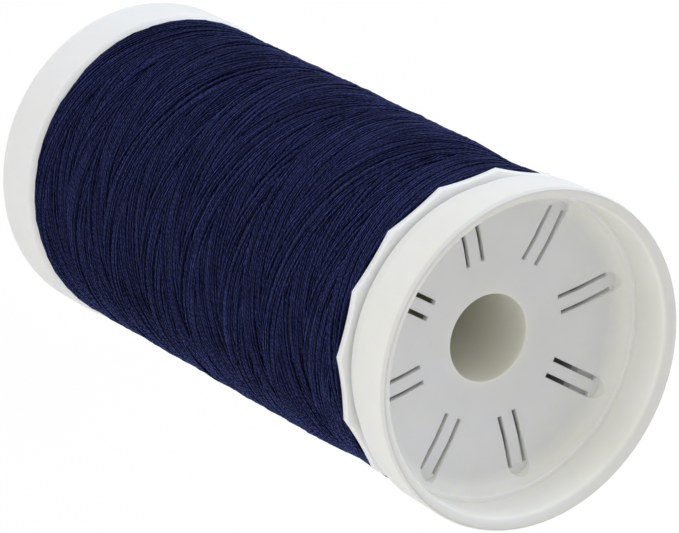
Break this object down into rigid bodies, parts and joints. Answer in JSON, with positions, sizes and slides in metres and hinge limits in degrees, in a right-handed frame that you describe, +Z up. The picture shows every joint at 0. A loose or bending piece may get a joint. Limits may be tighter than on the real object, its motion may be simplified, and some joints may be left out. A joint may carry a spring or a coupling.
{
  "type": "spool of thread",
  "caption": "Upright spool of navy sewing thread on a white plastic barrel, with a scalloped flange and a snap base that lifts to hold the thread's end.",
  "frame": {"origin": "centre of the foot flange's lower face, on the surface that the spool stands on", "axes": "+Z up along the spool's axis, from the foot flange to the snap base's rim; +X along one finger of the snap base's floor"},
  "size_m": [0.03, 0.03, 0.0644],
  "materials": {
    "white_shell": "white moulded plastic with a soft sheen",
    "white_base": "white moulded plastic with a soft sheen",
    "navy_core": "tightly wound navy sewing thread",
    "navy_thread": "tightly wound navy sewing thread with a faint sheen"
  },
  "bodies": {
    "spool": {"spool_body": "white_shell", "thread_core": "navy_core", "thread_turns": "navy_thread"},
    "base": {"snap_base": "white_base"}
  },
  "joints": [
    {"name": "base_lift", "type": "slide", "parent": "spool", "child": "base", "axis": [0, 0, 1], "range_m": [0, 0.0025]}
  ]
}
